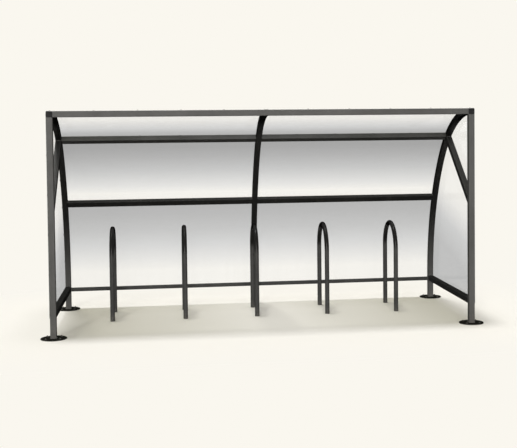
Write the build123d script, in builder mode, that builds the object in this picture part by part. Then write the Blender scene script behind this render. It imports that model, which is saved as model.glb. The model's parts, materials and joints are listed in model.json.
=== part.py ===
"""Open-fronted bicycle shelter: a steel tube frame in two bays with clear sheets and five hoop stands.

X runs along the row, Y from the open front to the back, and Z up. The origin is on the ground,
midway along the row and midway between the front posts and the rear feet. Millimetres and degrees.
"""

import os
from math import atan2, cos, degrees, radians, sin, tan

from build123d import *

# Frame
bay_length = 2090  # from one hoop to the next
depth = 1610  # from the front posts to the rear feet
height = 2200  # to the top of the frame
tube = 60  # square tube of the posts, hoops, beam, purlins, side rails and braces
tube_wall = 3
low_rail_tube = 40  # square tube of the low rail at the back
low_rail_height = 200  # underside of the side rails and of the low rail at the back

# Hoops: an upright foot, a long curve up the back, a tighter one over the roof and a level nose.
# A slope is the lean of the curve from upright.
bend_height = 270  # height at which the upright foot starts to curve
nose = 40  # level stretch behind the front post's middle
knee_slope = 42  # where the back's curve changes to the roof's
purlin_slope = 54
mid_rail_slope = 25.5
cap_flange = 4
cap_plug = 20
cap_clearance = 0.3
end_plate = 5  # plate that closes the middle hoop on the low rail

# Knee braces, from the front posts up to the ends of the purlins
brace_height = 1270  # the brace's middle where it leaves the post

# Round base plates
plate_radius = 125
plate_thickness = 8
plate_chamfer = 1.5
bolt_circle_diameter = 190
bolt_hole = 14
bolts = 4

# Clear sheets
sheet = 4
sheet_inset = 5  # from the frame's outer faces, all round
sheet_gap = 6  # joint between two sheets on the same tube

# Hoop stands
stand_count = 5
stand_pitch = 763
stand_row_shift = -40  # the row's middle, from the middle of the shelter
stand_setback = 797  # from the front posts to the front legs
stand_length = 541  # between the two legs
stand_height = 974
stand_tube = 48.3
stand_wall = 3.2

# Derived places
front = -depth / 2
rear = depth / 2
half_tube = tube / 2
axis_top = height - half_tube
front_face = front - half_tube
post_back = front + half_tube
side_places = {"left": -bay_length, "right": bay_length}
bays = {"left": -1, "right": 1}

upright = 0  # slope of the foot
level = 90  # slope of the nose

# The two curves of a hoop touch at the knee and fill the height and the depth between them.
rise = axis_top - bend_height
run = depth - nose
knee_sin = sin(radians(knee_slope))
knee_cos = cos(radians(knee_slope))
share = knee_sin + knee_cos - 1
roof_radius = (knee_sin * run - (1 - knee_cos) * rise) / share
back_radius = (knee_cos * rise - (1 - knee_sin) * run) / share
back_centre = (rear - back_radius, bend_height)
roof_centre = (front + nose, axis_top - roof_radius)


def arc_at(slope):
    """Centre and radius of the hoops' curve at a slope."""
    if slope < knee_slope:
        return back_centre, back_radius
    return roof_centre, roof_radius


def slope_step(slope, distance):
    """The change of slope along a short distance on a hoop's outer face."""
    radius = arc_at(slope)[1]
    return degrees(distance / (radius + half_tube))


def hoop_point(slope, shift=0):
    """Depth and height of a point on the hoops' curve, moved outwards by shift."""
    centre, radius = arc_at(slope)
    y = centre[0] + (radius + shift) * cos(radians(slope))
    z = centre[1] + (radius + shift) * sin(radians(slope))
    return y, z


def hoop_curve(shift, low=upright, high=level, foot=None, tip=None):
    """Draws the hoops' side view between two slopes, moved outwards by shift, with its straight
    ends down to the height foot and forward to the depth tip where they are given."""
    if foot is not None:
        Line((rear + shift, foot), (rear + shift, bend_height))
    if low < knee_slope:
        CenterArc(back_centre, back_radius + shift, low, min(high, knee_slope) - low)
    if high > knee_slope:
        start = max(low, knee_slope)
        CenterArc(roof_centre, roof_radius + shift, start, high - start)
    if tip is not None:
        Line((roof_centre[0], axis_top + shift), (tip, axis_top + shift))


def square_ring(size):
    """Section of a square tube, with the corners that rolling leaves."""
    RectangleRounded(size, size, 2 * tube_wall)
    RectangleRounded(size - 2 * tube_wall, size - 2 * tube_wall, tube_wall, mode=Mode.SUBTRACT)


def square_tube(plane, length, size=tube):
    """Straight square tube that starts on a plane and runs along its normal."""
    with BuildPart() as piece:
        with BuildSketch(plane):
            square_ring(size)
        extrude(amount=length)
    return piece.part


def hoop(x, foot, tip):
    """Square tube bent to the hoops' curve."""
    with BuildPart() as piece:
        with BuildLine(Plane.YZ.offset(x)) as axis:
            hoop_curve(0, foot=foot, tip=tip)
        with BuildSketch(Plane((x, rear, foot))):
            square_ring(tube)
        sweep(path=axis.line)
    return piece.part


def purlin_tube(side, slope):
    """Square tube between two hoops, turned to their slope and just clear of the sheets."""
    seat = half_tube**2 / (2 * arc_at(slope)[1])
    y, z = hoop_point(slope, -seat)
    start = half_tube if side > 0 else half_tube - bay_length
    along = (0, cos(radians(slope)), sin(radians(slope)))
    section = Plane((start, y, z), x_dir=along, z_dir=(1, 0, 0))
    return square_tube(section, bay_length - tube)


def knee_brace(x):
    """Square tube from a front post up to the purlin's end on the hoop, cut to the face of each."""
    purlin_y, purlin_z = hoop_point(purlin_slope)
    tilt = atan2(purlin_z - brace_height, purlin_y - post_back)
    uphill = (0, cos(tilt), sin(tilt))
    reach = depth / cos(tilt)
    low_end = (x, front, brace_height - half_tube * tan(tilt))
    with BuildPart() as piece:
        with BuildSketch(Plane(low_end, x_dir=(1, 0, 0), z_dir=uphill)):
            square_ring(tube)
        extrude(amount=reach)
        with BuildSketch(Plane.YZ.offset(x - half_tube)):
            with BuildLine():
                hoop_curve(-half_tube, tip=post_back)
                Polyline(
                    (post_back, axis_top - half_tube),
                    (post_back, bend_height),
                    (rear - half_tube, bend_height),
                )
            make_face()
        extrude(amount=tube, mode=Mode.INTERSECT)
    return piece.part


def base_plate(x, y):
    """Round plate with its bolt holes between the sides of the tube that stands on it."""
    with BuildPart(Plane((x, y, 0))) as piece:
        Cylinder(plate_radius, plate_thickness, align=(Align.CENTER, Align.CENTER, Align.MIN))
        chamfer(piece.edges().group_by(Axis.Z)[-1], plate_chamfer)
        with PolarLocations(bolt_circle_diameter / 2, bolts, start_angle=180 / bolts):
            Hole(bolt_hole / 2)
    return piece.part


def end_cap(x):
    """Moulded cap on a hoop's front end, with a plug that sits inside the tube."""
    plug_side = tube - 2 * tube_wall - 2 * cap_clearance
    with BuildPart() as piece:
        with BuildSketch(Plane((x, front_face, axis_top), x_dir=(1, 0, 0), z_dir=(0, -1, 0))):
            RectangleRounded(tube, tube, 2 * tube_wall)
        extrude(amount=cap_flange)
        fillet(piece.edges().group_by(Axis.Y)[0], cap_flange / 2)
        with BuildSketch(Plane((x, front_face, axis_top), x_dir=(1, 0, 0), z_dir=(0, 1, 0))):
            RectangleRounded(plug_side, plug_side, tube_wall)
        extrude(amount=cap_plug)
    return piece.part


def curved_sheet(side, low, high, foot=None, tip=None):
    """One bay's clear sheet on the outer face of the hoops."""
    width = bay_length + half_tube - sheet_inset - sheet_gap / 2
    middle = side * (sheet_gap / 2 + width / 2)
    with BuildPart() as piece:
        with BuildLine(Plane.YZ.offset(middle)) as line:
            hoop_curve(half_tube + sheet / 2, low, high, foot, tip)
        with BuildSketch(Plane(line.line @ 0, x_dir=(1, 0, 0), z_dir=line.line % 0)):
            Rectangle(width, sheet)
        sweep(path=line.line)
    return piece.part


def side_sheet(side):
    """Flat clear sheet on the outer face of an end frame, cut to its outline."""
    bottom = low_rail_height + sheet_inset
    edge = half_tube - sheet_inset
    outer_face = side * (bay_length + half_tube)
    with BuildPart() as piece:
        with BuildSketch(Plane.YZ.offset(outer_face)):
            with BuildLine():
                hoop_curve(edge, foot=bottom, tip=front - edge)
                Polyline((front - edge, axis_top + edge), (front - edge, bottom), (rear + edge, bottom))
            make_face()
        extrude(amount=side * sheet)
    return piece.part


def stand(x):
    """Round tube bent to an arch, cut off level with the ground."""
    bend_radius = stand_length / 2
    leg = stand_height - stand_tube / 2 - bend_radius
    front_leg = front + stand_setback
    rear_leg = front_leg + stand_length
    with BuildPart() as piece:
        with BuildLine(Plane.YZ.offset(x)) as axis:
            Line((front_leg, 0), (front_leg, leg))
            CenterArc((front_leg + bend_radius, leg), bend_radius, 180, -180)
            Line((rear_leg, leg), (rear_leg, 0))
        with BuildSketch(Plane((x, front_leg, 0))):
            Circle(stand_tube / 2)
            Circle(stand_tube / 2 - stand_wall, mode=Mode.SUBTRACT)
        sweep(path=axis.line)
    return piece.part


def write(name, part):
    """Labels a finished piece and writes it to its own file."""
    part.label = name
    export_step(part, f"parts/{name}.step")


os.makedirs("parts", exist_ok=True)

# Frame
beam_length = 2 * bay_length - tube
post_length = height - tube - plate_thickness
for name, x in side_places.items():
    write(f"front_post_{name}", square_tube(Plane((x, front, plate_thickness)), post_length))
    write(f"hoop_{name}", hoop(x, plate_thickness, front_face))
    write(f"hoop_cap_{name}", end_cap(x))
    write(f"knee_brace_{name}", knee_brace(x))
    rail_end = Plane((x, post_back, low_rail_height + half_tube), x_dir=(1, 0, 0), z_dir=(0, 1, 0))
    write(f"side_rail_{name}", square_tube(rail_end, depth - tube))
    write(f"front_base_{name}", base_plate(x, front))
    write(f"rear_base_{name}", base_plate(x, rear))

low_rail_top = low_rail_height + low_rail_tube
write("hoop_centre", hoop(0, low_rail_top + end_plate, post_back))
with BuildPart() as foot_plate:
    with BuildSketch(Plane((0, rear, low_rail_top))):
        Rectangle(tube, tube)
    extrude(amount=end_plate)
write("hoop_centre_foot", foot_plate.part)

beam_end = Plane((-beam_length / 2, front, axis_top), x_dir=(0, 1, 0), z_dir=(1, 0, 0))
write("front_beam", square_tube(beam_end, beam_length))
low_rail_end = Plane(
    (-beam_length / 2, rear + half_tube - low_rail_tube / 2, low_rail_height + low_rail_tube / 2),
    x_dir=(0, 1, 0),
    z_dir=(1, 0, 0),
)
write("low_rail", square_tube(low_rail_end, beam_length, low_rail_tube))

# Purlins, rails and sheets of each bay
purlin_joint = slope_step(purlin_slope, sheet_gap / 2)
mid_rail_joint = slope_step(mid_rail_slope, sheet_gap / 2)
for name, side in bays.items():
    write(f"purlin_{name}", purlin_tube(side, purlin_slope))
    write(f"mid_rail_{name}", purlin_tube(side, mid_rail_slope))
    roof_front = front_face + sheet_inset
    roof_range = (purlin_slope + purlin_joint, level)
    write(f"roof_sheet_{name}", curved_sheet(side, *roof_range, tip=roof_front))
    back_range = (mid_rail_slope + mid_rail_joint, purlin_slope - purlin_joint)
    write(f"upper_back_sheet_{name}", curved_sheet(side, *back_range))
    lower_range = (upright, mid_rail_slope - mid_rail_joint)
    sheet_foot = low_rail_height + sheet_inset
    write(f"lower_back_sheet_{name}", curved_sheet(side, *lower_range, foot=sheet_foot))
    write(f"side_sheet_{name}", side_sheet(side))

# Stands
for number in range(stand_count):
    x = stand_row_shift + (number - (stand_count - 1) / 2) * stand_pitch
    write(f"stand_{number + 1}", stand(x))
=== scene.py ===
"""Looks of an open-fronted bicycle shelter: coated steel tube frame, clear sheets and tube stands.

Row frame, in metres: X along the row, Y from the open front to the back, Z up. Everything that is
added here is placed from the boxes and faces of the CAD nodes.
"""

import json
from math import cos, pi, radians, sin

import bmesh
import bpy
from mathutils import Matrix, Vector
from mathutils.bvhtree import BVHTree


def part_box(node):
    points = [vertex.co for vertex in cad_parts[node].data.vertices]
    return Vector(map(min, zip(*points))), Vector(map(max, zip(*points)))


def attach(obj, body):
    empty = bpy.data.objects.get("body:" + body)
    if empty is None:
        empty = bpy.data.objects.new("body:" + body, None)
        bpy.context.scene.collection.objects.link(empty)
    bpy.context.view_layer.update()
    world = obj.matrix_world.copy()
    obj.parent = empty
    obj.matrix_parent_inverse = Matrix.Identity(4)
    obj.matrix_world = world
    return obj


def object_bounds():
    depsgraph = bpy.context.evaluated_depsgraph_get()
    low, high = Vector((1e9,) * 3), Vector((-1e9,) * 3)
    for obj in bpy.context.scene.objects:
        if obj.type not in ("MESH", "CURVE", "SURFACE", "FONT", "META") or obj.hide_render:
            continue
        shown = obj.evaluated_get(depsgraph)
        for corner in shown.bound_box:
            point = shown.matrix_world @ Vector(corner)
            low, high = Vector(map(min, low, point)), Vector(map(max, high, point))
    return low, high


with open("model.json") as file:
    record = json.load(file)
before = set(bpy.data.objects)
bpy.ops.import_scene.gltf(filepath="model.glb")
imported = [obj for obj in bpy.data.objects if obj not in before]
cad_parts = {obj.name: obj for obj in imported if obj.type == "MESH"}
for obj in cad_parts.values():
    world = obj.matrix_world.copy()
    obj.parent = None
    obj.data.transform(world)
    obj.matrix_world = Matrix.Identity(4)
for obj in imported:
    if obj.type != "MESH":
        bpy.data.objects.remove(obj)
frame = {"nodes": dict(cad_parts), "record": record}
cad_low, cad_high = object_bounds()
nodes = frame["nodes"]
record = frame["record"]

X, Y, Z = Vector((1, 0, 0)), Vector((0, 1, 0)), Vector((0, 0, 1))
SIDES = {"left": -1, "right": 1}  # name, and sign of X

# Colours, linear
CREAM = (0.956, 0.930, 0.863, 1)
FRAME_COAT = (0.079, 0.078, 0.076, 1)
# Painted shade: the next four are darker copies of the frame coat, for tubes in shade
PAINTED_DEEP_SHADE = (0.0075, 0.0075, 0.0073, 1)
RAIL_PAINTED_SHADE = (0.038, 0.038, 0.0375, 1)
PURLIN_PAINTED_SHADE = (0.066, 0.066, 0.065, 1)
BRACE_PAINTED_SHADE = (0.024, 0.024, 0.0237, 1)
BASE_COAT = (0.012, 0.012, 0.010, 1)
STAND_COAT = (0.054, 0.054, 0.0532, 1)
# Painted shade on the stands' arches
STAND_ARCH_SHADE = (0.005, 0.005, 0.005, 1)
CAP_PLASTIC = (0.012, 0.012, 0.0125, 1)
FIXING_COAT = (0.020, 0.020, 0.020, 1)
BARE_STEEL = (0.30, 0.30, 0.31, 1)
DUST = (0.30, 0.275, 0.23, 1)
SHEET_TINT = (0.955, 0.968, 1.0)
SHEET_GRIME = (0.62, 0.60, 0.56, 1)
SHEET_EDGE = (0.10, 0.12, 0.115, 1)
SHEET_GLOSS = (0.9, 0.9, 0.9, 1)
SKY_FILL = (1.0, 0.98, 0.92, 1)
# Painted shade of the floor near the object
FLOOR_PAINTED_SHADE = (0.69, 0.67, 0.59, 1)
FLOOR_BOUNCE = (0.13, 0.125, 0.115, 1)

# What the sheets let through of the light that falls on the floor
SHADE_MIDDLE = (0.86, 0.86, 0.85, 1)  # curved sheets, at the row's middle
SHADE_ENDS = (0.565, 0.56, 0.495, 1)  # curved sheets, at the row's ends
SHADE_SIDE = (0.86, 0.86, 0.84, 1)

# Heights between which a coat passes into its painted shade
HOOP_SHADE_HEIGHTS = (0.15, 1.2)
STAND_SHADE_HEIGHTS = (0.66, 0.74)

# Search rays
REACH = 1.0  # how far outside the object one starts
OFF_TUBE = 0.3  # how far from a tube's middle one starts that finds its face
PROBE_NEAR, PROBE_FAR = 0.02, 0.12  # places behind the post where the knee brace's faces are found
PROBE_ROOM = 0.2  # how far below or above the brace these rays start
OFF_FACE = 0.001  # how far off the brace's face the ray runs that finds the hoop

# Sizes
SHARP_ANGLE = radians(35)
CORNER = 0.006  # corner radius of the square tubes
WELD_LEG = 0.005
WIDE_LEG = 0.008  # leg of the weld over the low rail's edge, under the middle hoop
RIPPLE_HEIGHT = 0.0005
RIPPLE_PITCH = 0.0042
WELD_SUNK = 0.0005  # how far a weld sinks into its faces
WELD_SECTION = ((0, 0), (1, 0), (0.66, 0.44), (0.44, 0.66), (0, 1))  # shares of the leg

# Profiles of the fixings, as (radius, height) pairs
ANCHOR_WASHER = ((0.0125, -0.0002), (0.0125, 0.0016), (0.0119, 0.0021), (0.0095, 0.0021))
ANCHOR_NUT = ((0.0098, 0.0021), (0.0105, 0.0028), (0.0105, 0.0068), (0.0092, 0.0078))
ANCHOR_TIP = ((0.0078, 0.0076), (0.0070, 0.0100), (0.0048, 0.0118), (0.0020, 0.0126))
SCREW_WASHER = ((0.0088, -0.0002), (0.0088, 0.0008), (0.0082, 0.0012), (0.0056, 0.0012))
SCREW_DOME = ((0.0056, 0.0019), (0.0045, 0.0028), (0.0027, 0.0032))
SCREW_SOCKET = ((0.0020, 0.0032), (0.0020, 0.0022))
ROUND_SIDES = 20
WASHER_SIDES = 28
NUT_SIDES = 6
NUT_TWIST = 0.35  # turn from one nut to the next

# Screws of the sheets
BESIDE_JOINT = 0.016  # from a joint's middle
BACK_MARGIN = 0.06  # from a back sheet's foot and top
ROOF_MARGINS = (0.05, 0.06)  # from a roof sheet's front and back
SIDE_MARGIN = 0.03  # from a side sheet's foot and top
HIGHEST_BEHIND = 1.8  # height of a side sheet's highest screw down the hoop's back
UNDER_ROOF = (-0.45, -0.12)  # Y of a side sheet's screws on the hoop's upper part


# Places on the CAD nodes

trees = {}


def tree(node):
    if node not in trees:
        mesh = nodes[node].data
        corners = [vertex.co for vertex in mesh.vertices]
        faces = [polygon.vertices for polygon in mesh.polygons]
        trees[node] = BVHTree.FromPolygons(corners, faces)
    return trees[node]


def seat(node, start, direction):
    """First place on a CAD node along a ray, with the face's normal turned towards the start."""
    direction = Vector(direction).normalized()
    place, normal, _, _ = tree(node).ray_cast(Vector(start), direction)
    return place, -normal if normal.dot(direction) > 0 else normal


def lean(node):
    """Middle of a tube that runs along X, and the direction that its sheet side faces. The rays
    settle on that side from a first guess, each along the face that the last one found."""
    low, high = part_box(node)
    middle = (low + high) / 2
    normal = (Y + Z).normalized()
    for _ in range(3):
        _, normal = seat(node, middle + normal * OFF_TUBE, -normal)
    return middle, normal


def spaced(first, last, count):
    """Numbers at even steps, with both ends."""
    return [first + (last - first) * step / (count - 1) for step in range(count)]


# Mesh pieces


def piece(name, mesh_data, material):
    """Turns a bmesh into a piece of the object."""
    mesh = bpy.data.meshes.new(name)
    bmesh.ops.recalc_face_normals(mesh_data, faces=mesh_data.faces)
    mesh_data.to_mesh(mesh)
    mesh_data.free()
    for polygon in mesh.polygons:
        polygon.use_smooth = True
    made = bpy.data.objects.new(name, mesh)
    bpy.context.scene.collection.objects.link(made)
    mesh.materials.append(material)
    mesh.set_sharp_from_angle(angle=SHARP_ANGLE)
    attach(made, "root")
    return made


def spun(mesh_data, profile, place, axis, sides, twist=0.0):
    """Adds a solid of revolution, or a prism where sides are few, from (radius, height) pairs."""
    turn = Vector(axis).to_track_quat("Z", "Y").to_matrix().to_4x4()
    matrix = Matrix.Translation(place) @ turn
    rings = []
    for radius, height in profile:
        ring = []
        for step in range(sides):
            angle = twist + 2 * pi * step / sides
            corner = Vector((radius * cos(angle), radius * sin(angle), height))
            ring.append(mesh_data.verts.new(matrix @ corner))
        rings.append(ring)
    for low, high in zip(rings, rings[1:]):
        for step in range(sides):
            after = (step + 1) % sides
            mesh_data.faces.new((low[step], low[after], high[after], high[step]))
    mesh_data.faces.new(rings[0])
    mesh_data.faces.new(rings[-1])


def weld(mesh_data, stations, leg=WELD_LEG):
    """Adds a fillet weld along a corner, with the ripples of its run. A station is a place on the
    corner and the directions of its two faces away from it. A run that ends where it starts closes,
    and any other tapers at its ends."""
    places = [Vector(place) for place, _, _ in stations]
    closed = (places[0] - places[-1]).length < 1e-6
    lengths = [(after - before).length for before, after in zip(places, places[1:])]
    total = sum(lengths)
    steps = max(8, round(total / (RIPPLE_PITCH / 3)))
    rings = []
    for step in range(steps if closed else steps + 1):
        along = total * step / steps
        left, stretch = along, 0
        while stretch < len(lengths) - 1 and left > lengths[stretch]:
            left -= lengths[stretch]
            stretch += 1
        share = left / lengths[stretch]
        middle = places[stretch].lerp(places[stretch + 1], share)
        before, after = stations[stretch], stations[stretch + 1]
        first = Vector(before[1]).lerp(Vector(after[1]), share).normalized()
        second = Vector(before[2]).lerp(Vector(after[2]), share).normalized()
        taper = 1.0 if closed else min(1.0, 0.4 + min(along, total - along) / leg)
        uneven = 1 + 0.08 * sin(along * 310)
        size = leg * taper * uneven + RIPPLE_HEIGHT * sin(2 * pi * along / RIPPLE_PITCH)
        root = middle - (first + second) * WELD_SUNK
        section = [root + (first * a + second * b) * size for a, b in WELD_SECTION]
        rings.append([mesh_data.verts.new(corner) for corner in section])
    following = rings[1:] + rings[:1] if closed else rings[1:]
    for low, high in zip(rings, following):
        for side in range(len(WELD_SECTION)):
            after = (side + 1) % len(WELD_SECTION)
            mesh_data.faces.new((low[side], low[after], high[after], high[side]))
    if not closed:
        mesh_data.faces.new(rings[0])
        mesh_data.faces.new(rings[-1])


def run(mesh_data, start, end, first, second, leg=WELD_LEG):
    """Adds a straight weld."""
    weld(mesh_data, [(start, first, second), (end, first, second)], leg)


def foot_run(mesh_data, middle, half):
    """Adds a weld round the foot of an upright square tube, half being half its width."""
    stations = []
    for corner in range(4):
        quarter = pi / 2 * corner + pi / 4
        centre = middle + Vector((cos(quarter), sin(quarter), 0)) * (half - CORNER) * 2**0.5
        for step in range(7):
            angle = pi / 2 * (corner + step / 6)
            out = Vector((cos(angle), sin(angle), 0))
            stations.append((centre + out * CORNER, out, Z))
    weld(mesh_data, stations + stations[:1])


def screw(mesh_data, node, start, direction):
    """Adds a domed screw on a washer, seated on a sheet's face."""
    place, normal = seat(node, start, direction)
    spun(mesh_data, SCREW_WASHER + SCREW_DOME + SCREW_SOCKET, place, normal, ROUND_SIDES)


# Materials


def new_material(name):
    material = bpy.data.materials.new(name)
    material.use_nodes = True
    material.node_tree.nodes.clear()
    return material


class Graph:
    """Short ways to add and join shader nodes."""

    def __init__(self, node_tree):
        self.tree = node_tree

    def add(self, kind, inputs=None, **settings):
        node = self.tree.nodes.new(kind)
        for key, value in settings.items():
            setattr(node, key, value)
        for key, value in (inputs or {}).items():
            socket = node.inputs[key]
            if isinstance(value, bpy.types.NodeSocket):
                self.tree.links.new(value, socket)
            else:
                socket.default_value = value
        return node

    def math(self, operation, a, b=0.0, c=0.0, clamp=False):
        sockets = {0: a, 1: b, 2: c}
        node = self.add("ShaderNodeMath", sockets, operation=operation, use_clamp=clamp)
        return node.outputs[0]

    def spread(self, value, low, high, to_low=0.0, to_high=1.0, smooth=False):
        """Stretches low to high over to_low to to_high, and holds the ends."""
        kind = "SMOOTHSTEP" if smooth else "LINEAR"
        sockets = {"Value": value, "From Min": low, "From Max": high}
        sockets |= {"To Min": to_low, "To Max": to_high}
        return self.add("ShaderNodeMapRange", sockets, interpolation_type=kind).outputs["Result"]

    def noise(self, vector, scale, detail=2.0, rough=0.5):
        sockets = {"Vector": vector, "Scale": scale, "Detail": detail, "Roughness": rough}
        return self.add("ShaderNodeTexNoise", sockets).outputs["Fac"]

    def mix(self, share, a, b, blend="MIX"):
        """Mixes two colours."""
        node = self.add("ShaderNodeMix", data_type="RGBA", blend_type=blend)
        for key, value in (("Factor", share), ("A", a), ("B", b)):
            socket = next(s for s in node.inputs if s.name == key and s.enabled)
            if isinstance(value, bpy.types.NodeSocket):
                self.tree.links.new(value, socket)
            else:
                socket.default_value = value
        return next(s for s in node.outputs if s.enabled)

    def stretched(self, vector, scale):
        return self.add("ShaderNodeMapping", {"Vector": vector, "Scale": scale}).outputs["Vector"]

    def blend(self, share, first, second):
        """Mixes two shaders."""
        sockets = {0: share, 1: first, 2: second}
        return self.add("ShaderNodeMixShader", sockets).outputs[0]

    def seen(self):
        """1 where the camera looks, straight or by way of gloss or glass, and 0 for other light."""
        path = self.add("ShaderNodeLightPath").outputs
        direct = self.math("MAXIMUM", path["Is Camera Ray"], path["Is Glossy Ray"])
        return self.math("MAXIMUM", direct, path["Is Transmission Ray"])


def coat(
    name, colour, gloss, rough, dust_height, upper=None, change=(0.0, 0.0), under=None, chips=0.0
):
    """Powder coat: orange peel, slow changes of tone and gloss, dust below dust_height, and small
    chips of the given strength. The colour upper, a painted shade, takes over where the height
    passes through the two values of change, and the colour under, a painted shade, covers the faces
    that look down."""
    material = new_material(name)
    g = Graph(material.node_tree)
    source = g.add("ShaderNodeTexCoord")
    place = source.outputs["Object"]
    height = g.add("ShaderNodeSeparateXYZ", {0: place}).outputs["Z"]
    cloud = g.noise(place, 3.1, 4.0)
    grain = g.noise(place, 55.0, 5.0, 0.62)
    peel = g.noise(place, 620.0, 1.5)
    base = colour
    if upper:
        base = g.mix(g.spread(height, *change, smooth=True), colour, upper)
    if under:
        facing = g.add("ShaderNodeSeparateXYZ", {0: source.outputs["Normal"]}).outputs["Z"]
        base = g.mix(g.spread(facing, -0.2, -0.5), base, under)
    shade = g.mix(1.0, base, g.spread(cloud, 0.35, 0.65, 0.86, 1.14), blend="MULTIPLY")
    runs = g.noise(g.stretched(place, (38.0, 38.0, 1.2)), 1.0, 4.0, 0.6)
    shade = g.mix(g.spread(runs, 0.52, 0.8, 0.0, 0.04), shade, DUST)
    near_ground = g.spread(height, dust_height, 0.0, smooth=True)
    specks = g.spread(grain, 0.45, 0.72, 0.05, 0.30)
    dusty = g.math("MULTIPLY", near_ground, specks)
    shade = g.mix(dusty, shade, DUST)
    if chips:
        spots = g.add("ShaderNodeTexVoronoi", {"Vector": place, "Scale": 90.0, "Randomness": 1.0})
        rare = g.math("GREATER_THAN", g.noise(place, 9.0, 2.0), 0.64)
        chip = g.math("MULTIPLY", g.math("LESS_THAN", spots.outputs["Distance"], 0.16), rare)
        shade = g.mix(g.math("MULTIPLY", chip, chips), shade, BARE_STEEL)
    uneven = g.spread(g.noise(place, 14.0, 5.0, 0.6), 0.3, 0.7, rough - 0.06, rough + 0.07)
    uneven = g.math("ADD", uneven, dusty, clamp=True)
    relief = g.math("ADD", g.math("MULTIPLY", peel, 0.6), g.math("MULTIPLY", grain, 0.4))
    sockets = {"Strength": 0.12, "Distance": 0.0006, "Height": relief}
    bump = g.add("ShaderNodeBump", sockets).outputs["Normal"]
    sockets = {"Base Color": shade, "Roughness": uneven, "Normal": bump}
    glossy = g.add("ShaderNodeBsdfPrincipled", sockets | {"Specular IOR Level": gloss})
    matt = g.add("ShaderNodeBsdfDiffuse", {"Color": shade, "Roughness": 0.6, "Normal": bump})
    slant = g.add("ShaderNodeLayerWeight", {"Blend": 0.5}).outputs["Facing"]
    lost = g.spread(slant, 0.35, 0.75, smooth=True)
    finish = g.blend(lost, glossy.outputs[0], matt.outputs[0])
    g.add("ShaderNodeOutputMaterial", {"Surface": finish})
    return material


def glazing(name, low, high, stops, shine, milk, slope=0.0, lift=0.0, flat=False):
    """Clear sheet with a painted shade: its grey tone runs with height between low and high.
    The tone is that of a place higher up by lift, and by slope for each metre nearer the front. Cut
    edges are darker, the foot has caught some dirt, and rain and hands have left faint marks. The
    shade on the floor is even for a flat side sheet, and deepens towards the ends of the row for
    the others."""
    material = new_material(name)
    g = Graph(material.node_tree)
    source = g.add("ShaderNodeTexCoord")
    place = source.outputs["Object"]
    axes = g.add("ShaderNodeSeparateXYZ", {0: place})
    height = axes.outputs["Z"]
    level = g.math("MULTIPLY_ADD", axes.outputs["Y"], -slope, c=height)
    ramp = g.add("ShaderNodeValToRGB", {"Fac": g.spread(level, low - lift, high - lift)})
    elements = ramp.color_ramp.elements
    while len(elements) < len(stops):
        elements.new(0.5)
    for element, (at, value) in zip(elements, stops):
        tinted = min(1.0, 0.3 + 8 * (1 - value))
        element.position = at
        element.color = tuple(value * (1 - tinted * (1 - c)) for c in SHEET_TINT) + (1,)
    streaks = g.noise(g.stretched(place, (26.0, 26.0, 1.6)), 1.0, 5.0, 0.6)
    film = g.noise(place, 6.0, 6.0, 0.65)
    rain = g.spread(streaks, 0.5, 0.8, 0.0, 0.03)
    hands = g.spread(film, 0.5, 0.8, 0.0, 0.01)
    dirt = g.spread(height, low + 0.05, low, 0.0, 0.06, smooth=True)
    marks = g.math("ADD", g.math("ADD", rain, hands), dirt)
    tone = g.mix(marks, ramp.outputs["Color"], SHEET_GRIME)
    across = g.add("ShaderNodeSeparateXYZ", {0: source.outputs["Normal"]}).outputs["X"]
    turned = (0.9, 0.6) if flat else (0.6, 0.9)
    edge = g.spread(g.math("ABSOLUTE", across), *turned, 0.0, 0.7)
    tone = g.mix(edge, tone, SHEET_EDGE)
    clear = g.add("ShaderNodeBsdfTransparent", {"Color": tone})
    haze = g.add("ShaderNodeBsdfDiffuse", {"Color": tone})
    glow = g.add("ShaderNodeBsdfTranslucent", {"Color": tone})
    body = g.blend(0.24, haze.outputs[0], glow.outputs[0])
    sheet = g.blend(milk, clear.outputs[0], body)
    rough = g.spread(film, 0.3, 0.8, 0.06, 0.16)
    sockets = {"Strength": 0.15, "Distance": 0.004, "Height": g.noise(place, 2.2, 2.0)}
    bump = g.add("ShaderNodeBump", sockets).outputs[0]
    sockets = {"Color": SHEET_GLOSS, "Roughness": rough, "Normal": bump}
    gloss = g.add("ShaderNodeBsdfGlossy", sockets)
    edge_on = g.add("ShaderNodeLayerWeight", {"Blend": 0.12}).outputs["Fresnel"]
    finished = g.blend(g.math("MULTIPLY", edge_on, shine), sheet, gloss.outputs[0])
    shade = SHADE_SIDE
    if not flat:
        ends = g.spread(g.math("ABSOLUTE", axes.outputs["X"]), 0.0, cad_high.x)
        shade = g.mix(ends, SHADE_MIDDLE, SHADE_ENDS)
    passed = g.add("ShaderNodeBsdfTransparent", {"Color": shade})
    shading = g.add("ShaderNodeLightPath").outputs["Is Shadow Ray"]
    finished = g.blend(shading, finished, passed.outputs[0])
    g.add("ShaderNodeOutputMaterial", {"Surface": finished})
    return material


# Name, colour, gloss, roughness and the height up to which dust lies
frame_coat = coat("frame_coat", FRAME_COAT, 0.25, 0.46, 0.22)
# Painted shade: the hoops pass upwards into a near-black copy of the frame coat
hoop_coat = coat("hoop_coat", FRAME_COAT, 0.10, 0.40, 0.12, upper=PAINTED_DEEP_SHADE, change=HOOP_SHADE_HEIGHTS)
# Painted shade: darker copies of the frame coat, for tubes in shade
dark_coat = coat("dark_coat", PAINTED_DEEP_SHADE, 0.10, 0.36, 0.12)
rail_coat = coat("rail_coat", RAIL_PAINTED_SHADE, 0.16, 0.40, 0.12)
# Painted shade: a darker copy of the frame coat, near black on the faces that look down
purlin_coat = coat("purlin_coat", PURLIN_PAINTED_SHADE, 0.16, 0.40, 0.12, under=PAINTED_DEEP_SHADE)
brace_coat = coat("brace_coat", BRACE_PAINTED_SHADE, 0.2, 0.42, 0.12)
base_coat = coat("base_coat", BASE_COAT, 0.10, 0.55, 0.006)
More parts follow.
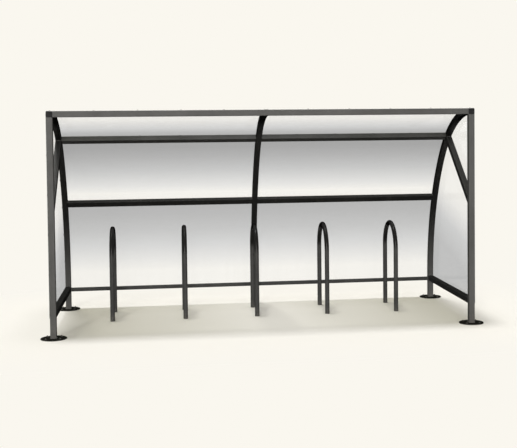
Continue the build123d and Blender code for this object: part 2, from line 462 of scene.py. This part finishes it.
# Painted shade: the stands' arches pass into near black above their legs
stand_coat = coat(
    "stand_coat", STAND_COAT, 0.14, 0.30, 0.12, upper=STAND_ARCH_SHADE, change=STAND_SHADE_HEIGHTS, chips=0.2
)
cap_plastic = coat("cap_plastic", CAP_PLASTIC, 0.12, 0.55, 0.01)
fixing_coat = coat("fixing_coat", FIXING_COAT, 0.3, 0.42, 0.05)

# The sheets' painted shade as (share of their height, grey) pairs, from the foot up, and their
# other looks
GLAZING = {
    "roof_sheet": {
        "stops": ((0.0, 0.72), (0.17, 0.78), (0.32, 0.88), (0.55, 0.97), (0.7, 1.0)),
        "shine": 0.08,
        "milk": 0.07,
    },
    "upper_back_sheet": {
        "stops": (
            (0.0, 1.0),
            (0.13, 1.0),
            (0.24, 0.945),
            (0.47, 0.83),
            (0.69, 0.73),
            (0.83, 0.68),
            (1.0, 0.665),
        ),
        "shine": 0.2,
        "milk": 0.07,
    },
    "lower_back_sheet": {
        "stops": (
            (0.0, 1.0),
            (0.2, 1.0),
            (0.33, 0.955),
            (0.5, 0.886),
            (0.67, 0.81),
            (0.84, 0.755),
            (1.0, 0.725),
        ),
        "shine": 0.2,
        "milk": 0.07,
    },
    # Painted shade on the side sheets, lighter towards the front and the top
    "side_sheet": {
        "stops": ((0.0, 0.795), (0.2, 0.795), (0.35, 0.862), (0.5, 0.983), (0.56, 1.0)),
        "shine": 0.08,
        "milk": 0.02,
        "slope": 0.22,
        "flat": True,
    },
}
# Painted light: the left side sheet takes its tone from higher up, so it is lighter
PAINTED_LIGHT_LIFT = {"side_sheet_left": 0.15}  # it is the lighter one in the photograph
for kind, look in GLAZING.items():
    for side in SIDES:
        node = f"{kind}_{side}"
        low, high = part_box(node)
        material = glazing(f"glazing_{node}", low.z, high.z, lift=PAINTED_LIGHT_LIFT.get(node, 0.0), **look)
        nodes[node].data.materials.clear()
        nodes[node].data.materials.append(material)

COATS = {
    "frame_coat": frame_coat,
    "base_coat": base_coat,
    "stand_coat": stand_coat,
    "cap_plastic": cap_plastic,
}
# Painted shade: tubes that get a darker, shaded copy of their slot's coat
PAINTED_SHADE_COATS = {"hoop_centre": dark_coat, "hoop_centre_foot": dark_coat, "low_rail": rail_coat}
for side in SIDES:
    PAINTED_SHADE_COATS[f"hoop_{side}"] = hoop_coat
    PAINTED_SHADE_COATS[f"knee_brace_{side}"] = brace_coat
    PAINTED_SHADE_COATS[f"purlin_{side}"] = purlin_coat
    PAINTED_SHADE_COATS[f"mid_rail_{side}"] = dark_coat
    PAINTED_SHADE_COATS[f"side_rail_{side}"] = brace_coat
for part in record["subparts"]:
    slot, node = part["material_slot"], part["node"]
    if slot in COATS:
        nodes[node].data.materials.clear()
        nodes[node].data.materials.append(PAINTED_SHADE_COATS.get(node, COATS[slot]))

# The photograph shows no thin lines of shadow from the rails across the sheets' shade on the floor
nodes["low_rail"].visible_shadow = False
for kind in ("purlin", "mid_rail", "side_rail"):
    for side in SIDES:
        nodes[f"{kind}_{side}"].visible_shadow = False


# Anchors of the base plates

plate_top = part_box("front_base_left")[1].z
for mount in record["mounts"]:
    if mount["kind"] != "bolt_pattern":
        continue
    middle = Vector(mount["pos_m"])
    circle = mount["dims"]["pcd_mm"] / 2000  # radius in metres
    count = mount["dims"]["count"]
    bm = bmesh.new()
    for step in range(count):
        angle = pi / count + 2 * pi * step / count
        foot = Vector((middle.x + circle * cos(angle), middle.y + circle * sin(angle), plate_top))
        spun(bm, ANCHOR_WASHER, foot, Z, WASHER_SIDES)
        spun(bm, ANCHOR_NUT, foot, Z, NUT_SIDES, NUT_TWIST * step)
        spun(bm, ANCHOR_TIP, foot, Z, ROUND_SIDES)
    piece(f"anchors_{mount['name'].replace('_bolts', '')}", bm, fixing_coat)


# Welds of the frame

beam_low, beam_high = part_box("front_beam")
low_rail_low, low_rail_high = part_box("low_rail")
post_low, post_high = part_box("front_post_right")
half = (post_high.x - post_low.x) / 2  # half the width of a square tube
face = half - CORNER  # half the width of its flat faces
y_low, y_high = low_rail_low.y + CORNER, low_rail_high.y - CORNER
z_low, z_high = low_rail_low.z + CORNER, low_rail_high.z - CORNER
for side, sign in SIDES.items():
    post_low, post_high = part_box(f"front_post_{side}")
    hoop_low, hoop_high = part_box(f"hoop_{side}")
    rail_low, rail_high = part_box(f"side_rail_{side}")
    brace_low, brace_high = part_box(f"knee_brace_{side}")
    x = (post_low.x + post_high.x) / 2
    inner = x - sign * half
    inwards = X * -sign
    back, under = post_high.y, post_high.z
    bm = bmesh.new()
    foot_run(bm, Vector((x, back - half, post_low.z)), half)
    foot_run(bm, Vector((x, hoop_high.y - half, hoop_low.z)), half)
    # Post under the hoop's nose, and the beam against it
    run(bm, (x - face, back, under), (x + face, back, under), -Z, Y)
    run(bm, (inner, back - CORNER, under), (inner, beam_low.y + CORNER, under), inwards, -Z)
    run(bm, (inner, back, under + CORNER), (inner, back, beam_high.z - CORNER), inwards, Y)
    # Side rail between the post and the hoop's foot
    for y, away in ((rail_low.y, Y), (rail_high.y, -Y)):
        run(bm, (x - face, y, rail_high.z), (x + face, y, rail_high.z), away, Z)
        run(bm, (x - face, y, rail_low.z), (x + face, y, rail_low.z), away, -Z)
    # Lower and upper face of the knee brace, on the post and on the hoop
    for start, upwards in ((brace_low.z - PROBE_ROOM, Z), (brace_high.z + PROBE_ROOM, -Z)):
        near = seat(f"knee_brace_{side}", (x, back + PROBE_NEAR, start), upwards)[0]
        far = seat(f"knee_brace_{side}", (x, back + PROBE_FAR, start), upwards)[0]
        uphill = (far - near).normalized()
        corner = near - uphill * (PROBE_NEAR / uphill.y)
        run(bm, corner - X * face, corner + X * face, uphill, -upwards)
        corner, normal = seat(f"hoop_{side}", near - upwards * OFF_FACE, uphill)
        along = X.cross(normal)
        along *= -1 if along.dot(upwards) > 0 else 1
        run(bm, corner - X * face, corner + X * face, -uphill, along)
    # Low rail on the hoop's foot
    run(bm, (inner, y_low, low_rail_high.z), (inner, y_high, low_rail_high.z), inwards, Z)
    run(bm, (inner, y_low, low_rail_low.z), (inner, y_high, low_rail_low.z), inwards, -Z)
    run(bm, (inner, low_rail_low.y, z_low), (inner, low_rail_low.y, z_high), inwards, -Y)
    # Purlin and mid rail between the hoops
    for rail in (f"purlin_{side}", f"mid_rail_{side}"):
        middle, normal = lean(rail)
        over = X.cross(normal)
        low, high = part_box(rail)
        for end, away in ((low.x, X), (high.x, -X)):
            for way in (-1, 1):
                corner = Vector((end, middle.y, middle.z)) + over * (way * half)
                run(bm, corner - normal * face, corner + normal * face, away, over * way)
    piece(f"welds_{side}", bm, frame_coat)

# The middle hoop's nose on the beam and its foot on the low rail
bm = bmesh.new()
for sign in SIDES.values():
    x, y, outwards = half * sign, beam_high.y, X * sign
    run(bm, (x, y, beam_low.z + CORNER), (x, y, beam_high.z - CORNER), Y, outwards)
    run(bm, (x, y_low, low_rail_high.z), (x, y_high, low_rail_high.z), outwards, Z)
y, z = low_rail_low.y, low_rail_high.z
run(bm, (-face, y, z), (face, y, z), -Y, -Z, WIDE_LEG)
piece("welds_centre", bm, frame_coat)


# Screws that hold the sheets, from outside

beam_middle = (beam_low + beam_high) / 2
low_rail_middle = (low_rail_low + low_rail_high) / 2
for side, sign in SIDES.items():
    hoop_x = sign * (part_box("hoop_right")[1].x - half)
    columns = (hoop_x, sign * BESIDE_JOINT)
    between = spaced(hoop_x, 0, 6)[1:-1]
    rows = {rail: lean(f"{rail}_{side}") for rail in ("purlin", "mid_rail")}
    bm = bmesh.new()
    for kind, count in (("lower_back_sheet", 4), ("upper_back_sheet", 3)):
        low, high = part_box(f"{kind}_{side}")
        for x in columns:
            for z in spaced(low.z + BACK_MARGIN, high.z - BACK_MARGIN, count):
                screw(bm, f"{kind}_{side}", (x, high.y + REACH, z), -Y)
    low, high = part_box(f"roof_sheet_{side}")
    above_roof = high.z + REACH
    for x in columns:
        for y in spaced(low.y + ROOF_MARGINS[0], high.y - ROOF_MARGINS[1], 4):
            screw(bm, f"roof_sheet_{side}", (x, y, above_roof), -Z)
    for x in between:
        behind = (x, low_rail_high.y + REACH, low_rail_middle.z)
        screw(bm, f"lower_back_sheet_{side}", behind, -Y)
        screw(bm, f"roof_sheet_{side}", (x, beam_middle.y, above_roof), -Z)
        for rail, above, below in (
            ("purlin", "roof_sheet", "upper_back_sheet"),
            ("mid_rail", "upper_back_sheet", "lower_back_sheet"),
        ):
            middle, normal = rows[rail]
            over = X.cross(normal)
            for kind, way in ((above, 1), (below, -1)):
                joint = Vector((x, middle.y, middle.z)) + normal * REACH
                screw(bm, f"{kind}_{side}", joint + over * (way * BESIDE_JOINT), -normal)
    # Side sheet on the post, the side rail and the hoop
    sheet = f"side_sheet_{side}"
    outside = sign * (cad_high.x + REACH)
    inwards = X * -sign
    post_low, post_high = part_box(f"front_post_{side}")
    rail_low, rail_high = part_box(f"side_rail_{side}")
    sheet_low, sheet_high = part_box(sheet)
    for z in spaced(sheet_low.z + SIDE_MARGIN, sheet_high.z - SIDE_MARGIN, 6):
        screw(bm, sheet, (outside, (post_low.y + post_high.y) / 2, z), inwards)
    for y in spaced(post_high.y, sheet_high.y, 5)[1:-1]:
        screw(bm, sheet, (outside, y, (rail_low.z + rail_high.z) / 2), inwards)
    heights = spaced(sheet_low.z + SIDE_MARGIN, HIGHEST_BEHIND, 6)
    behind = [(hoop_x, sheet_high.y + REACH, z) for z in heights]
    above = [(hoop_x, y, sheet_high.z + REACH) for y in UNDER_ROOF]
    for starts, direction in ((behind, -Y), (above, -Z)):
        for start in starts:
            place, normal = seat(f"hoop_{side}", start, direction)
            screw(bm, sheet, (outside, *(place - normal * half).yz), inwards)
    piece(f"sheet_screws_{side}", bm, fixing_coat)


# Camera at the photograph's viewpoint, turned in radians from a level line of sight along Y

LENS = 70.65
SHIFT_X, SHIFT_Y = -0.10, -0.11
VIEWPOINT = Vector((-1.0221, -10.808, 2.0396))
YAW, PITCH, ROLL = 0.1445, -0.0410, -0.0093

camera_data = bpy.data.cameras.new("camera")
camera_data.sensor_width = 36
camera_data.lens = LENS
camera_data.shift_x = SHIFT_X
camera_data.shift_y = SHIFT_Y
camera = bpy.data.objects.new("camera", camera_data)
bpy.context.scene.collection.objects.link(camera)
ahead = Vector((sin(YAW) * cos(PITCH), cos(YAW) * cos(PITCH), sin(PITCH)))
level_right = Vector((cos(YAW), -sin(YAW), 0))
level_up = level_right.cross(ahead)
right = cos(ROLL) * level_right + sin(ROLL) * level_up
up = -sin(ROLL) * level_right + cos(ROLL) * level_up
turn = Matrix((right, up, -ahead)).transposed().to_4x4()
camera.matrix_world = Matrix.Translation(VIEWPOINT) @ turn
bpy.context.scene.camera = camera


# Light. Azimuth runs from the open front towards the right, and the angle is the lamp's apparent
# width, all in degrees. Strength 1 lights a face turned to the lamp to the face's own colour.

SUNS = (
    # name, azimuth, elevation, strength, angle, colour
    ("overhead", 237, 85.5, 0.68, 12, (1.0, 1.0, 1.0)),
    ("key", -20, 16, 0.20, 9, (1.0, 1.0, 0.97)),
    ("front", -4, 6, 0.86, 46, (1.02, 1.0, 0.96)),
    ("back", 172, 4, 0.40, 60, (1.0, 1.0, 0.98)),
)
FILL_STRENGTH = 0.11

for name, azimuth, elevation, strength, angle, colour in SUNS:
    sun = bpy.data.lights.new(name, "SUN")
    sun.energy = strength * pi
    sun.angle = radians(angle)
    sun.color = colour
    lamp = bpy.data.objects.new(name, sun)
    a, e = radians(azimuth), radians(elevation)
    towards = Vector((sin(a) * cos(e), -cos(a) * cos(e), sin(e)))
    lamp.rotation_mode = "QUATERNION"
    lamp.rotation_quaternion = towards.to_track_quat("Z", "Y")
    bpy.context.scene.collection.objects.link(lamp)

world = bpy.data.worlds.new("world")
bpy.context.scene.world = world
world.use_nodes = True
world.node_tree.nodes.clear()
g = Graph(world.node_tree)
fill = g.add("ShaderNodeBackground", {"Color": SKY_FILL, "Strength": FILL_STRENGTH})
backdrop = g.add("ShaderNodeBackground", {"Color": CREAM, "Strength": 1.0})
shown = g.blend(g.seen(), fill.outputs[0], backdrop.outputs[0])
g.add("ShaderNodeOutputWorld", {"Surface": shown})


# Floor: takes the object's shadow and a painted shade close by, and passes into the backdrop's
# colour further out

FADE_FROM, FADE_TO = 0.25, 1.3  # distances outside the object's box
PAINTED_SHADE_REACH = 0.6  # how far off an object darkens the floor round it
FLOOR_HALF_SIZE = 60

floor_material = new_material("floor")
g = Graph(floor_material.node_tree)
place = g.add("ShaderNodeTexCoord").outputs["Object"]
axes = g.add("ShaderNodeSeparateXYZ", {0: place})
box_middle, box_half = (cad_low + cad_high) / 2, (cad_high - cad_low) / 2
squares = []
for axis, name in enumerate("XY"):
    off = g.math("SUBTRACT", axes.outputs[name], box_middle[axis])
    off = g.math("SUBTRACT", g.math("ABSOLUTE", off), box_half[axis])
    squares.append(g.math("POWER", g.math("MAXIMUM", off, 0.0), 2.0))
distance = g.math("SQRT", g.math("ADD", *squares))
far = g.spread(distance, FADE_FROM, FADE_TO, smooth=True)
# Painted shade: the floor's colour darkens by ambient occlusion near the object
occlusion_shade = g.add("ShaderNodeAmbientOcclusion", {"Distance": PAINTED_SHADE_REACH}, samples=12)
shaded = g.mix(g.spread(occlusion_shade.outputs["AO"], 0.3, 1.0), FLOOR_PAINTED_SHADE, CREAM)
near_floor = g.add("ShaderNodeBsdfDiffuse", {"Color": shaded})
far_floor = g.add("ShaderNodeEmission", {"Color": CREAM, "Strength": 1.0})
shown = g.blend(far, near_floor.outputs[0], far_floor.outputs[0])
bounce = g.add("ShaderNodeBsdfDiffuse", {"Color": FLOOR_BOUNCE})
finished = g.blend(g.seen(), bounce.outputs[0], shown)
g.add("ShaderNodeOutputMaterial", {"Surface": finished})

bm = bmesh.new()
bmesh.ops.create_grid(bm, x_segments=8, y_segments=8, size=FLOOR_HALF_SIZE)
floor_mesh = bpy.data.meshes.new("floor")
bm.to_mesh(floor_mesh)
bm.free()
floor_mesh.materials.append(floor_material)
floor = bpy.data.objects.new("floor", floor_mesh)
bpy.context.scene.collection.objects.link(floor)

bpy.context.scene.view_settings.view_transform = "Standard"
